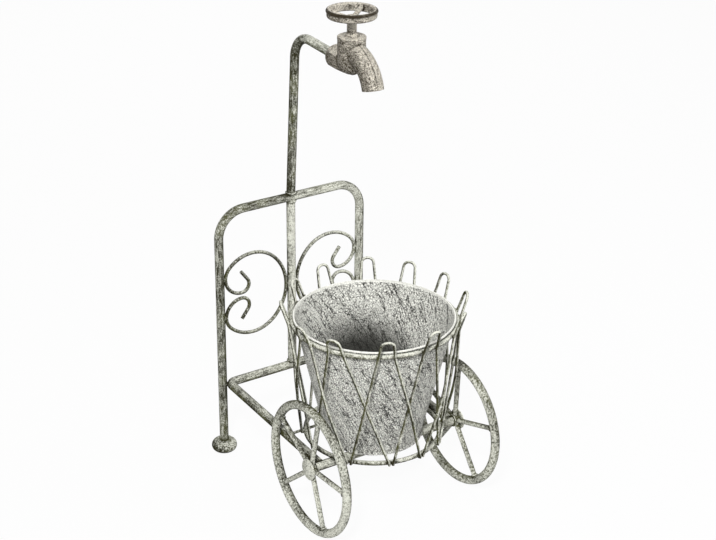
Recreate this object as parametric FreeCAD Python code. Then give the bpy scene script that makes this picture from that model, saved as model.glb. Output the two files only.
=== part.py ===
import FreeCAD, Part
import math
import os

from FreeCAD import Vector

# Wire-cart plant stool: a bent-tube frame with a garden-tap standpipe at the back,
# a wire basket with a lift-out zinc pot over the axle, and two spoked wheels.
# Millimetres, +Z up, +Y to the back, origin on the floor under the middle of the stool.

# Frame tubes
tube_d = 10.0
tube_wall = 1.0
leg_spacing = 185.0
wheelbase = 192.0
hoop_height = 296.5
hoop_bend_r = 31.0
rail_rear_height = 86.0
rail_rise_at_axle = 3.7
rail_bend_r = 8.0
rail_contact_deg = 30.0
weld_gap = 0.05
overrun = 2.0

# Feet
foot_d = 29.0
foot_height = 13.0
foot_base_d = 17.0
foot_top_d = 15.0
foot_socket_depth = 8.0

# Standpipe and its arm
arm_height = 488.5
arm_drop_deg = 3.5
standpipe_lean_deg = 3.55
standpipe_bend_r = 28.0

# Wheels and axle
wheel_d = 150.0
wheel_dish = 1.65
rim_wire_d = 9.6
spoke_count = 5
spoke_d = 5.4
left_spoke_phase_deg = 31.7
right_spoke_phase_deg = 19.0
hub_d = 12.4
hub_length = 6.0
axle_tube_overhang = 0.175
axle_rod_d = 6.0
axle_washer_d = 14.0
axle_washer_thick = 0.8
hub_cap_d = 23.0
hub_cap_edge = 1.2
hub_cap_thick = 2.6
axle_grip = 1.4
running_gap = 0.05
end_play = 0.3

# Wire basket
basket_setback = 24.5
ring_wire_d = 5.0
top_ring_inset = 8.3
top_ring_height = 216.0
hairpin_wire_d = 3.0
hairpin_top_angles_deg = (4.4, 32.5, 60.3, 91.4, 117.5, 151, 185, 210.5, 243.5, 274.3, 305, 334.9)
hairpin_foot_angles_deg = (5, 34.5, 61, 92, 121.5, 151.5, 181, 217, 250.5, 278, 303, 335)
hairpin_gap = 0.2
hairpin_rail_gap = 1.1
hairpin_rise = 24.0
hairpin_rise_shares = (1, 1, 1.05, 1, 0.9, 0.9, 0.8, 0.8, 0.9, 1, 1, 1)
hairpin_splay = 7.4
hairpin_width = 12.4
hairpin_width_at_ring = 17.0
hairpin_foot_spacing = 4.4
hairpin_tail = 1.5
hairpin_ring_bend_r = 18.0
hairpin_bow = 5.6
hairpin_bow_bend_r = 300.0
contact_gap = 0.1

# Zinc pot
rest_gap = 0.3
pot_wall = 1.0
pot_ring_gap = 0.5
pot_bead_d = 2.2
pot_base_d = 108.0
pot_seam_width = 1.6
pot_seam_height = 4.0
pot_floor_recess = 2.5
rest_rod_d = 3.0
rest_rod_setback = 67.3

# Scrolls: radius of each bend as a share of the scroll's width, with its turn in degrees
scroll_wire_d = 4.0
scroll_bend_shares = ((0.66, 45.0), (0.51, 90.0), (0.24, 45.0), (0.255, 90.0), (0.12, 127.0))
scroll_tail_share = 0.165

# Garden tap
tap_reach = 119.2
tap_barrel_d = 29.0
tap_barrel_rise = 27.2
tap_barrel_height = 37.2
tap_barrel_round = 13.0
tap_spout_d = 22.4
tap_spout_bend_r = 40.0
tap_spout_turn_deg = 77.0
tap_shoulder = 0.5
tap_seam_width = 2.4
tap_seam_rise = 0.5
tap_mouth_bore_d = 17.0
tap_mouth_depth = 12.0
tap_inlet_sink = 5.5
tap_inlet_end_d = 16.0
nut_side_count = 6
tap_nut_flats = 23.2
tap_nut_thick = 7.0
tap_nut_setback = 28.6
tap_nut_ball_d = 25.8
tap_bonnet_d = 29.6
tap_bonnet_thick = 2.8
tap_bonnet_edge = 0.8
tap_neck_d = 10.0
tap_neck_foot_d = 15.0
tap_neck_foot_height = 3.0
tap_neck_height = 13.1
spindle_d = 6.0
spindle_collar_d = 9.0
spindle_collar_thick = 3.0
spindle_pocket_depth = 5.0
handwheel_d = 52.6
handwheel_rim_thick = 4.8
handwheel_rim_drop = 6.2
handwheel_crown = 2.8
handwheel_lip = 0.8
handwheel_dish = 8.3
handwheel_hub_d = 13.0
handwheel_hub_height = 7.0
handwheel_spoke_count = 3
handwheel_spoke_d = 5.0
handwheel_spoke_phase_deg = 30.0
handwheel_screw_d = 7.6
handwheel_screw_dome = 1.8

# Derived places
tube_r = tube_d / 2
wheel_r = wheel_d / 2
foot_r = foot_d / 2
ring_wire_r = ring_wire_d / 2
hairpin_wire_r = hairpin_wire_d / 2
scroll_wire_r = scroll_wire_d / 2
axle_rod_r = axle_rod_d / 2
leg_x = leg_spacing / 2
depth = wheel_r + wheelbase + foot_r
axle_y = wheel_r - depth / 2
axle_z = wheel_r
hoop_y = axle_y + wheelbase
basket_y = axle_y + basket_setback
tap_y = hoop_y - tap_reach

# The rail's corner bend leans on the leg, so its place follows from that contact.
rail_contact = rail_bend_r + tube_d + contact_gap
rail_x = leg_x - rail_contact * math.cos(math.radians(rail_contact_deg)) + rail_bend_r
rail_y = hoop_y - rail_contact * math.sin(math.radians(rail_contact_deg)) + rail_bend_r
rail_front_z = axle_z + rail_rise_at_axle

# Stack along the axle, from the tube's end outwards.
tube_end_x = rail_x + tube_r + axle_tube_overhang
washer_x = tube_end_x + weld_gap
hub_x = washer_x + axle_washer_thick + end_play
cap_x = hub_x + hub_length + end_play
rim_x = hub_x + hub_length / 2 + wheel_dish

# The top ring lies inside the wheels, and the hairpins' feet just clear the rails.
top_ring_d = 2 * (rim_x - top_ring_inset)
hairpin_seat = ring_wire_r + hairpin_wire_r + hairpin_gap
hairpin_foot_r = rail_x - tube_r - hairpin_rail_gap - hairpin_wire_r
bottom_ring_d = 2 * (hairpin_foot_r - hairpin_seat)
bottom_ring_z = axle_z + tube_r + weld_gap + ring_wire_r
pot_base_z = axle_z + tube_r + rest_gap
pot_rim_z = top_ring_height + ring_wire_r + rest_gap + pot_bead_d / 2

# Stack of the tap, from the arm's axis upwards.
arm_lean = (arm_height - hoop_height) * math.tan(math.radians(standpipe_lean_deg))
arm_run = tap_reach - arm_lean
tap_barrel_top = arm_height - arm_run * math.tan(math.radians(arm_drop_deg)) + tap_barrel_rise
bonnet_top_z = tap_barrel_top + tap_bonnet_thick
neck_top_z = bonnet_top_z + tap_neck_height
handwheel_hub_z = neck_top_z + end_play
handwheel_hub_middle_z = handwheel_hub_z + handwheel_hub_height / 2
handwheel_ridge_z = handwheel_hub_middle_z + handwheel_dish
arm_direction = Vector(0, -math.cos(math.radians(arm_drop_deg)), -math.sin(math.radians(arm_drop_deg)))


def save(node, shape):
    """Write one piece as its own file."""
    shape.exportStep(os.path.join("parts", node + ".step"))


def rounded_wire(points, radii):
    """Straight runs through the points, each inner corner eased by a tangent arc."""
    edges = []
    start = points[0]
    for before, corner, after, radius in zip(points, points[1:], points[2:], radii):
        way_in = (corner - before).normalize()
        way_out = (after - corner).normalize()
        half_turn = way_in.getAngle(way_out) / 2
        setback = radius * math.tan(half_turn)
        arc_start = corner - way_in * setback
        arc_end = corner + way_out * setback
        inward = (way_out - way_in).normalize()
        arc_middle = corner + inward * (radius / math.cos(half_turn) - radius)
        edges.append(Part.LineSegment(start, arc_start).toShape())
        edges.append(Part.Arc(arc_start, arc_middle, arc_end).toShape())
        start = arc_end
    edges.append(Part.LineSegment(start, points[-1]).toShape())
    return Part.Wire(edges)


def rod_along(wire, diameter):
    """Round bar bent along a wire."""
    first = wire.Edges[0]
    start = first.valueAt(first.FirstParameter)
    heading = first.tangentAt(first.FirstParameter)
    section = Part.Wire([Part.makeCircle(diameter / 2, start, heading)])
    return wire.makePipeShell([section], True, False)


def tube_along(wire, diameter, wall):
    """Round tube bent along a wire, open at both ends."""
    return rod_along(wire, diameter).cut(rod_along(wire, diameter - 2 * wall))


def bar_between(start, end, diameter):
    """Straight round bar from one point to another."""
    return Part.makeCylinder(diameter / 2, (end - start).Length, start, end - start)


def turned(corners, arcs, axis_foot):
    """Solid of revolution about the vertical through axis_foot.

    corners are (radius, height) points; arcs gives, for a corner's place in the list,
    the point that the run arriving there bends through."""
    points = [Vector(radius, 0, height) for radius, height in corners]
    edges = []
    for place, point in enumerate(points):
        before = points[place - 1]
        if place in arcs:
            radius, height = arcs[place]
            edges.append(Part.Arc(before, Vector(radius, 0, height), point).toShape())
        else:
            edges.append(Part.LineSegment(before, point).toShape())
    face = Part.Face(Part.Wire(Part.__sortEdges__(edges)))
    solid = face.revolve(Vector(0, 0, 0), Vector(0, 0, 1), 360)
    solid.translate(axis_foot)
    return solid


def dome_middle(radius, edge_z, crown_z):
    """Halfway point of the round profile that rises from an edge to a crown on the axis."""
    rise = crown_z - edge_z
    ball_r = (radius ** 2 + rise ** 2) / (2 * rise)
    half_angle = math.asin(radius / abs(ball_r)) / 2
    return abs(ball_r) * math.sin(half_angle), crown_z - ball_r * (1 - math.cos(half_angle))


def polar(radius, angle_deg, height):
    """Point of the basket, by radius and angle about its upright axis."""
    angle = math.radians(angle_deg)
    return Vector(radius * math.cos(angle), basket_y + radius * math.sin(angle), height)


def hoop_wire():
    foot_floor = foot_height - foot_socket_depth
    points = [
        Vector(-leg_x, hoop_y, foot_floor),
        Vector(-leg_x, hoop_y, hoop_height),
        Vector(leg_x, hoop_y, hoop_height),
        Vector(leg_x, hoop_y, foot_floor),
    ]
    return rounded_wire(points, [hoop_bend_r, hoop_bend_r])


def rail_wire():
    points = [
        Vector(-rail_x, axle_y, rail_front_z),
        Vector(-rail_x, rail_y, rail_rear_height),
        Vector(rail_x, rail_y, rail_rear_height),
        Vector(rail_x, axle_y, rail_front_z),
    ]
    return rounded_wire(points, [rail_bend_r, rail_bend_r])


def seat_d(diameter):
    """Diameter of the hollow that a bar of this size is fitted or welded into."""
    return diameter + 2 * weld_gap


def axle_bar(half_length, diameter):
    return bar_between(Vector(-half_length, axle_y, axle_z), Vector(half_length, axle_y, axle_z), diameter)


def foot(side):
    """Flattened ball with a flat sole and a socket for the end of a leg."""
    corners = [(0, 0), (foot_base_d / 2, 0), (foot_top_d / 2, foot_height), (0, foot_height)]
    ball = turned(corners, {2: (foot_r, foot_height / 2)}, Vector(side * leg_x, hoop_y, 0))
    socket_floor = Vector(side * leg_x, hoop_y, foot_height - foot_socket_depth)
    socket = Part.makeCylinder(seat_d(tube_d) / 2, foot_socket_depth + overrun, socket_floor)
    return ball.cut(socket)


def frame_pieces():
    hoop_fitted = rod_along(hoop_wire(), seat_d(tube_d))
    rail_fitted = rod_along(rail_wire(), seat_d(tube_d))
    save("back_hoop", tube_along(hoop_wire(), tube_d, tube_wall))
    save("left_foot", foot(-1))
    save("right_foot", foot(1))

    axle_fitted = axle_bar(tube_end_x, seat_d(tube_d))
    save("base_rail", tube_along(rail_wire(), tube_d, tube_wall).cut(axle_fitted))
    save("axle_tube", axle_bar(tube_end_x, tube_d).cut(axle_bar(tube_end_x, seat_d(axle_rod_d))))

    post_wire = rounded_wire([Vector(0, rail_y, rail_rear_height), Vector(0, hoop_y, hoop_height)], [])
    post = tube_along(post_wire, tube_d, tube_wall)
    save("lower_post", post.cut(rail_fitted).cut(hoop_fitted))
    save("standpipe", tube_along(standpipe_wire(), tube_d, tube_wall).cut(hoop_fitted))

    rest_y = axle_y + rest_rod_setback
    rest_z = axle_z + tube_r - rest_rod_d / 2
    rest_rod = bar_between(Vector(-rail_x, rest_y, rest_z), Vector(rail_x, rest_y, rest_z), rest_rod_d)
    save("pot_rest_rod", rest_rod.cut(rail_fitted).Solids[0])


def nut_centre():
    """Middle of the inlet nut, on the arm's sloping axis."""
    run = arm_run - tap_nut_setback
    z = arm_height - run * math.tan(math.radians(arm_drop_deg))
    return Vector(0, tap_y + tap_nut_setback, z)


def standpipe_wire():
    """Up from the hoop, leaning a little forward, then over and out to the tap."""
    points = [
        Vector(0, hoop_y, hoop_height),
        Vector(0, hoop_y - arm_lean, arm_height),
        nut_centre() + arm_direction * (tap_nut_thick / 2),
    ]
    return rounded_wire(points, [standpipe_bend_r])


def scroll_bends():
    """Bends of the upper half of a scroll, as triples of (across, up) points from its waist."""
    across = 0
    up = 0
    turned_deg = 0
    bends = []
    for share, turn_deg in scroll_bend_shares:
        def at(deg):
            start = math.radians(turned_deg)
            end = math.radians(deg)
            return (across + share * (math.cos(start) - math.cos(end)),
                    up + share * (math.sin(end) - math.sin(start)))
        bends.append(((across, up), at(turned_deg + turn_deg / 2), at(turned_deg + turn_deg)))
        across, up = at(turned_deg + turn_deg)
        turned_deg += turn_deg
    reach = max(end[0] for start, middle, end in bends)
    heading = math.radians(turned_deg)
    tip = (across + scroll_tail_share * math.sin(heading), up + scroll_tail_share * math.cos(heading))
    return bends, tip, reach


def scroll(side):
    """Wire scroll between the post and a leg, curled in at both ends."""
    bends, tip, reach = scroll_bends()
    inner_x = tube_r + scroll_wire_r + contact_gap
    outer_x = leg_x - inner_x
    scale = (outer_x - inner_x) / reach
    waist_z = (rail_rear_height + hoop_height) / 2

    def place(point, half):
        return Vector(side * (inner_x + scale * point[0]), hoop_y, waist_z + half * scale * point[1])

    edges = [Part.LineSegment(place(tip, -1), place(bends[-1][2], -1)).toShape()]
    for start, middle, end in reversed(bends):
        edges.append(Part.Arc(place(end, -1), place(middle, -1), place(start, -1)).toShape())
    for start, middle, end in bends:
        edges.append(Part.Arc(place(start, 1), place(middle, 1), place(end, 1)).toShape())
    edges.append(Part.LineSegment(place(bends[-1][2], 1), place(tip, 1)).toShape())
    return rod_along(Part.Wire(edges), scroll_wire_d)


def hairpin(number):
    """Bent wire over the top ring, its legs splayed to the bottom ring below its neighbours.

    Every second hairpin bows out, so that its legs pass over those of the hairpins beside it."""
    angle = hairpin_top_angles_deg[number]
    ring_r = top_ring_d / 2 + hairpin_seat
    top_r = ring_r + hairpin_splay
    top_z = top_ring_height + hairpin_rise * hairpin_rise_shares[number]
    bows_out = number % 2 == 0

    def swing(width, radius):
        return math.degrees(math.asin(width / 2 / radius))

    def leg(side):
        foot_angle = hairpin_foot_angles_deg[(number + side) % len(hairpin_foot_angles_deg)]
        at_top = polar(top_r, angle + side * swing(hairpin_width, top_r), top_z)
        at_ring = polar(ring_r, angle + side * swing(hairpin_width_at_ring, ring_r), top_ring_height)
        toe_in = side * swing(hairpin_foot_spacing, hairpin_foot_r)
        at_foot = polar(hairpin_foot_r, foot_angle - toe_in, bottom_ring_z)
        end = at_foot + (at_foot - at_ring).normalize() * hairpin_tail
        middle = (at_ring + at_foot) / 2
        outward = Vector(middle.x, middle.y - basket_y, 0).normalize()
        bow = [middle + outward * hairpin_bow] if bows_out else []
        return [end] + bow + [at_ring, at_top]

    crown_r = hairpin_width / 2 - weld_gap
    leg_radii = [hairpin_bow_bend_r] if bows_out else []
    leg_radii += [hairpin_ring_bend_r, crown_r]
    return rod_along(rounded_wire(leg(-1) + leg(1)[::-1], leg_radii + leg_radii[::-1]), hairpin_wire_d)


def basket_pieces():
    save("top_ring", Part.makeTorus(top_ring_d / 2, ring_wire_r, Vector(0, basket_y, top_ring_height)))
    save("bottom_ring", Part.makeTorus(bottom_ring_d / 2, ring_wire_r, Vector(0, basket_y, bottom_ring_z)))
    for number in range(len(hairpin_top_angles_deg)):
        save("hairpin_%02d" % (number + 1), hairpin(number))


def pot():
    """Tapered sheet pot with a wired rim and a folded seam under its floor."""
    seam_r = pot_base_d / 2
    seam_top = pot_base_z + pot_seam_height
    floor_z = pot_base_z + pot_floor_recess
    wall_r = seam_r - pot_seam_width / 2
    ring_level_r = top_ring_d / 2 - ring_wire_r - pot_ring_gap
    flare = (ring_level_r - wall_r) / (top_ring_height - seam_top)
    shoulder_r = ring_level_r + flare * (pot_rim_z - top_ring_height)
    corners = [
        (0, floor_z),
        (seam_r - pot_seam_width, floor_z),
        (seam_r - pot_seam_width, pot_base_z),
        (seam_r, pot_base_z),
        (seam_r, seam_top),
        (wall_r, seam_top),
        (shoulder_r, pot_rim_z),
        (shoulder_r - pot_wall, pot_rim_z),
        (wall_r - pot_wall, seam_top),
        (wall_r - pot_wall, floor_z + pot_wall),
        (0, floor_z + pot_wall),
    ]
    shell = turned(corners, {}, Vector(0, basket_y, 0))
    bead = Part.makeTorus(shoulder_r, pot_bead_d / 2, Vector(0, basket_y, pot_rim_z))
    return shell.fuse(bead).removeSplitter()


def wheel_pieces(name, side, phase_deg):
    """One wheel with its washer and the cap that keeps it on the axle."""
    outward = Vector(side, 0, 0)

    def on_axle(x):
        return Vector(side * x, axle_y, axle_z)

    rim_r = (wheel_d - rim_wire_d) / 2
    save(name + "_rim", Part.makeTorus(rim_r, rim_wire_d / 2, on_axle(rim_x), outward))
    bore = Part.makeCylinder(axle_rod_r + running_gap, hub_length, on_axle(hub_x), outward)
    save(name + "_hub", Part.makeCylinder(hub_d / 2, hub_length, on_axle(hub_x), outward).cut(bore))

    rim_fitted = Part.makeTorus(rim_r, seat_d(rim_wire_d) / 2, on_axle(rim_x), outward)
    hub_fitted = Part.makeCylinder(seat_d(hub_d) / 2, hub_length, on_axle(hub_x), outward)
    hub_middle = on_axle(hub_x + hub_length / 2)
    for number in range(spoke_count):
        angle = math.radians(phase_deg + number * 360 / spoke_count)
        rim_point = on_axle(rim_x) + Vector(0, rim_r * math.cos(angle), rim_r * math.sin(angle))
        spoke = bar_between(hub_middle, rim_point, spoke_d).cut(hub_fitted).cut(rim_fitted)
        save("%s_spoke_%d" % (name, number + 1), spoke)

    seat = Part.makeCylinder(seat_d(axle_rod_d) / 2, axle_washer_thick, on_axle(washer_x), outward)
    washer = Part.makeCylinder(axle_washer_d / 2, axle_washer_thick, on_axle(washer_x), outward)
    save(name + "_washer", washer.cut(seat))
    save(name + "_hub_cap", hub_cap(side))


def hub_cap(side):
    """Domed disc pressed on the end of the axle rod."""
    cap_r = hub_cap_d / 2
    corners = [(0, 0), (cap_r, 0), (cap_r, hub_cap_edge), (0, hub_cap_thick)]
    cap = turned(corners, {3: dome_middle(cap_r, hub_cap_edge, hub_cap_thick)}, Vector(0, 0, 0))
    cap = cap.cut(Part.makeCylinder(seat_d(axle_rod_d) / 2, axle_grip))
    cap.rotate(Vector(0, 0, 0), Vector(0, 1, 0), side * 90)
    cap.translate(Vector(side * cap_x, axle_y, axle_z))
    return cap


def tap_barrel(swell):
    """Upright barrel with a rounded bottom, fuller all round by the swell."""
    barrel_r = tap_barrel_d / 2 + swell
    bottom_z = tap_barrel_top - tap_barrel_height - swell
    round_z = bottom_z + tap_barrel_round
    corners = [(0, bottom_z), (barrel_r, round_z), (barrel_r, tap_barrel_top), (0, tap_barrel_top)]
    return turned(corners, {1: dome_middle(barrel_r, round_z, bottom_z)}, Vector(0, tap_y, 0))


def tap_seam():
    """Raised casting seam round the barrel and the spout, in the tap's middle plane."""
    full = tap_barrel(tap_seam_rise).fuse(rod_along(spout_wire(), tap_spout_d + 2 * tap_seam_rise))
    box = full.BoundBox
    corner = Vector(-tap_seam_width / 2, box.YMin - overrun, box.ZMin - overrun)
    slab = Part.makeBox(tap_seam_width, box.YLength + 2 * overrun, box.ZLength + 2 * overrun, corner)
    return full.common(slab)


def tap_inlet():
    """Hexagon boss behind the barrel, rounded off where it runs in."""
    start = nut_centre() + arm_direction * (tap_nut_thick / 2 + weld_gap)
    length = tap_nut_setback - tap_nut_thick / 2 - tap_barrel_d / 2 + tap_inlet_sink
    ball_r = math.hypot(length, tap_inlet_end_d / 2)
    return hexagon_bar(start, length, tap_nut_flats).common(Part.makeSphere(ball_r, start))


def tap_body():
    """Cast barrel with a bent spout, a casting seam and a hexagon inlet."""
    body = tap_barrel(0).fuse(rod_along(spout_wire(), tap_spout_d))
    body = body.fuse(tap_seam()).fuse(tap_inlet())
    mouth, drop = spout_mouth()
    bore_start = mouth + drop * overrun
    bore = Part.makeCylinder(tap_mouth_bore_d / 2, tap_mouth_depth + overrun, bore_start, drop * -1)
    pocket_floor = Vector(0, tap_y, tap_barrel_top - spindle_pocket_depth)
    pocket_r = spindle_collar_d / 2 + end_play
    pocket = Part.makeCylinder(pocket_r, spindle_pocket_depth + overrun, pocket_floor)
    return body.removeSplitter().cut(bore).cut(pocket)


def spout_wire():
    """Quarter-like bend from the barrel's axis, forward and down to the mouth."""
    start_z = tap_barrel_top - tap_shoulder - tap_seam_rise - tap_spout_d / 2

    def at(deg):
        angle = math.radians(deg)
        y = tap_y - tap_spout_bend_r * math.sin(angle)
        return Vector(0, y, start_z - tap_spout_bend_r * (1 - math.cos(angle)))
    arc = Part.Arc(at(0), at(tap_spout_turn_deg / 2), at(tap_spout_turn_deg))
    return Part.Wire([arc.toShape()])


def spout_mouth():
    """Middle of the mouth, and the way out of it."""
    bend = spout_wire().Edges[0]
    return bend.valueAt(bend.LastParameter), bend.tangentAt(bend.LastParameter)


def hexagon_bar(start, length, flats):
    """Hexagon bar along the arm, with a corner up."""
    corner_r = flats / 2 / math.cos(math.pi / nut_side_count)
    corners = []
    for step in range(nut_side_count + 1):
        angle = math.pi / 2 + step * 2 * math.pi / nut_side_count
        corners.append(Vector(corner_r * math.cos(angle), 0, corner_r * math.sin(angle)))
    hexagon = Part.Face(Part.makePolygon(corners))
    hexagon.rotate(Vector(0, 0, 0), Vector(1, 0, 0), arm_drop_deg)
    hexagon.translate(start)
    return hexagon.extrude(arm_direction * length)


def tap_nut():
    """Hexagon nut with a rounded back, bored for the end of the arm."""
    back = nut_centre() - arm_direction * (tap_nut_thick / 2)
    front = nut_centre() + arm_direction * (tap_nut_thick / 2)
    nut = hexagon_bar(back, tap_nut_thick, tap_nut_flats)
    nut = nut.common(Part.makeSphere(tap_nut_ball_d / 2, front))
    bore_start = back - arm_direction * overrun
    bore = Part.makeCylinder(seat_d(tube_d) / 2, tap_nut_thick + 2 * overrun, bore_start, arm_direction)
    return nut.cut(bore)


def tap_bonnet():
    """Cover of the barrel with the neck that the spindle turns in."""
    cover_r = tap_bonnet_d / 2
    neck_r = tap_neck_d / 2
    bore_r = spindle_d / 2 + running_gap
    corners = [
        (bore_r, tap_barrel_top),
        (cover_r, tap_barrel_top),
        (cover_r, bonnet_top_z - tap_bonnet_edge),
        (cover_r - tap_bonnet_edge, bonnet_top_z),
        (tap_neck_foot_d / 2, bonnet_top_z),
        (neck_r, bonnet_top_z + tap_neck_foot_height),
        (neck_r, neck_top_z),
        (bore_r, neck_top_z),
    ]
    return turned(corners, {}, Vector(0, tap_y, 0))


def tap_spindle():
    """Turning stem, kept down by a collar under the bonnet."""
    collar_top = tap_barrel_top - end_play
    collar_bottom = collar_top - spindle_collar_thick
    spindle_r = spindle_d / 2
    corners = [
        (0, collar_bottom),
        (spindle_collar_d / 2, collar_bottom),
        (spindle_collar_d / 2, collar_top),
        (spindle_r, collar_top),
        (spindle_r, handwheel_hub_z + handwheel_hub_height),
        (0, handwheel_hub_z + handwheel_hub_height),
    ]
    return turned(corners, {}, Vector(0, tap_y, 0))


def handwheel_rim():
    """Deep rim with a rounded crown that overhangs the band below it by a lip."""
    outer_r = handwheel_d / 2
    inner_r = outer_r - handwheel_rim_thick
    band_r = outer_r - handwheel_lip
    bottom_z = handwheel_ridge_z - handwheel_rim_drop
    band_z = bottom_z + (band_r - inner_r) / 2
    corners = [
        (inner_r, band_z),
        (inner_r, handwheel_ridge_z),
        (outer_r, handwheel_ridge_z),
        (band_r, handwheel_ridge_z),
        (band_r, band_z),
    ]
    arcs = {
        0: ((inner_r + band_r) / 2, bottom_z),
        2: ((inner_r + outer_r) / 2, handwheel_ridge_z + handwheel_crown),
    }
    return turned(corners, arcs, Vector(0, tap_y, 0))


def handwheel():
    """Dished cast handwheel: rim, sloping spokes and hub."""
    rim_r = (handwheel_d - handwheel_rim_thick) / 2
    hub_foot = Vector(0, tap_y, handwheel_hub_z)
    hub_middle = Vector(0, tap_y, handwheel_hub_middle_z)
    wheel = handwheel_rim()
    wheel = wheel.fuse(Part.makeCylinder(handwheel_hub_d / 2, handwheel_hub_height, hub_foot))
    for number in range(handwheel_spoke_count):
        angle = math.radians(handwheel_spoke_phase_deg + number * 360 / handwheel_spoke_count)
        rim_point = Vector(rim_r * math.cos(angle), tap_y + rim_r * math.sin(angle), handwheel_ridge_z)
        wheel = wheel.fuse(bar_between(hub_middle, rim_point, handwheel_spoke_d))
    bore = Part.makeCylinder(seat_d(spindle_d) / 2, handwheel_hub_height, hub_foot)
    hub_top = hub_foot + Vector(0, 0, handwheel_hub_height)
    spot_face = Part.makeCylinder(seat_d(handwheel_screw_d) / 2, handwheel_screw_dome, hub_top)
    return wheel.removeSplitter().cut(bore).cut(spot_face)


def handwheel_screw():
    """Low domed screw head on top of the hub."""
    base_z = handwheel_hub_z + handwheel_hub_height
    head_r = handwheel_screw_d / 2
    crown_z = base_z + handwheel_screw_dome
    corners = [(0, base_z), (head_r, base_z), (0, crown_z)]
    return turned(corners, {2: dome_middle(head_r, base_z, crown_z)}, Vector(0, tap_y, 0))


def tap_pieces():
    save("tap_nut", tap_nut())
    save("tap_body", tap_body())
    save("tap_bonnet", tap_bonnet())
    save("tap_spindle", tap_spindle())
    save("handwheel", handwheel())
    save("handwheel_screw", handwheel_screw())


os.makedirs("parts", exist_ok=True)
frame_pieces()
save("axle_rod", axle_bar(cap_x + axle_grip - weld_gap, axle_rod_d))
save("left_scroll", scroll(-1))
save("right_scroll", scroll(1))
basket_pieces()
save("pot", pot())
wheel_pieces("left", -1, left_spoke_phase_deg)
wheel_pieces("right", 1, right_spoke_phase_deg)
tap_pieces()
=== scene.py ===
import math
from collections import namedtuple
from types import SimpleNamespace

import bpy
from mathutils import Matrix, Quaternion, Vector


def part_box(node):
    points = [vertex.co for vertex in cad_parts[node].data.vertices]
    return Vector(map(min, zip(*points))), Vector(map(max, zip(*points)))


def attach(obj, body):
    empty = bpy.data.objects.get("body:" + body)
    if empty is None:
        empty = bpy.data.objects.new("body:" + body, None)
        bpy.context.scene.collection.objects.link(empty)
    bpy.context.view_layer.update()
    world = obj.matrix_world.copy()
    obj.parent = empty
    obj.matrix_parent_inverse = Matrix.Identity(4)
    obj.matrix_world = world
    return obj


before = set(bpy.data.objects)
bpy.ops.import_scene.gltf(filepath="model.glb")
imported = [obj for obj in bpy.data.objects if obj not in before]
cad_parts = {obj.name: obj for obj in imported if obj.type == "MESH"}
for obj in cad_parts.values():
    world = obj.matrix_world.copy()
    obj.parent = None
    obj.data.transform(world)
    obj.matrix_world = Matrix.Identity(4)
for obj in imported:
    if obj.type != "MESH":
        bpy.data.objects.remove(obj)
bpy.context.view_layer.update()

bl_info = {
    "name": "Wire-cart plant stool",
    "version": (1, 0, 0),
    "blender": (4, 5, 0),
    "location": "3D View > Sidebar > Plant stool",
    "description": "Finishes, weld beads and studio for a whitewashed wire-cart plant stool",
    "category": "Object",
}

# Pieces, by the names of their CAD nodes

HAIRPINS = ["hairpin_%02d" % number for number in range(1, 13)]
FEET = ["left_foot", "right_foot"]
SCROLLS = ["left_scroll", "right_scroll"]
RINGS = ["top_ring", "bottom_ring"]
AXLE = ["axle_tube", "axle_rod", "left_washer", "right_washer"]
HUB_CAPS = ["left_hub_cap", "right_hub_cap"]
TAP_CASTINGS = ["tap_body", "tap_spindle", "handwheel_screw"]
SPOKES = range(1, 6)


def wheel_nodes(side):
    return [side + "_rim", side + "_hub"] + ["%s_spoke_%d" % (side, number) for number in SPOKES]


def centre_of(node):
    low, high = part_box(node)
    return (low + high) / 2


# Directions

UP = Vector((0, 0, 1))
RIGHTWARD = Vector((1, 0, 0))
# Sides facing this way get more whitewash and less wear on the tap, and also painted light from above right.
LIT_AND_BRUSHED_FROM = (0.58, -0.2, 0.79)
# Painted shade: tube flanks seen side-on from this direction are darkened towards the undercoat.
FLANK_SHADE_AXIS = (-0.5, -0.75, 0.43)
# Painted shade inside the pot reaches higher up the wall on this side.
SHADED_SIDE = (0.27, 0.75, 0.0)

# Whitewash: sizes and reaches are shares of a brush streak's length, and the rest are weights and limits

WASH = SimpleNamespace(
    streak_width=1 / 10, streak_draw=0.2, mottle_size=1 / 9, patch_size=1.5, speck_size=1 / 16,
    crevice_reach=1 / 4, bend_reach=1 / 2,
    streaks=0.8, mottle=0.75, patches=0.5, crevices=0.35, flank_shade=0.1, specks=0.7, moss=0.85,
    flank_shade_limits=(0.1, 0.7), coat_limits=(0.28, 0.67), speck_limits=(0.54, 0.66), moss_limits=(0.45, 0.6),
    rough=0.74, coat_rough=0.14, speck_rough=0.14,
    coat_relief=0.5, streak_relief=0.5, mottle_relief=0.4,
    gloss=0.1,
)

# Paint of the tap: sizes are shares of the cracks' spacing, and drops and insets are in metres

CRACKLE = SimpleNamespace(
    bend_size=2.0, bend_reach=0.8, crack_size=0.8, crack_width=0.07, craze_size=1 / 2.7, craze_width=0.09,
    patch_size=3.0, grain_size=1 / 4,
    cracks=0.8, craze=0.55, unworn_and_shaded=0.65, hollows=2.0, grain=0.5, handling=1.1, bare=0.42,
    worn_patches=0.7, lit_and_worn_above=0.45, worn_all=0.06, worn_limits=(0.16, 0.72),
    # The neck's drops and lightening set painted light on the bonnet's neck, under the handwheel.
    grip_insets=(0.0024, 0.0012), crown_drops=(0.0030, 0.0022), neck_drops=(0.0075, 0.0055), neck_light=0.6,
    rough=0.62, crack_rough=0.15, grain_rough=0.1,
    crack_relief=0.8, craze_relief=0.4, grain_relief=0.4,
    gloss=0.15,
)

# Zinc of the pot: sizes are shares of the wrinkles' spacing, drops are in metres, heights shares of the pot

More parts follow.
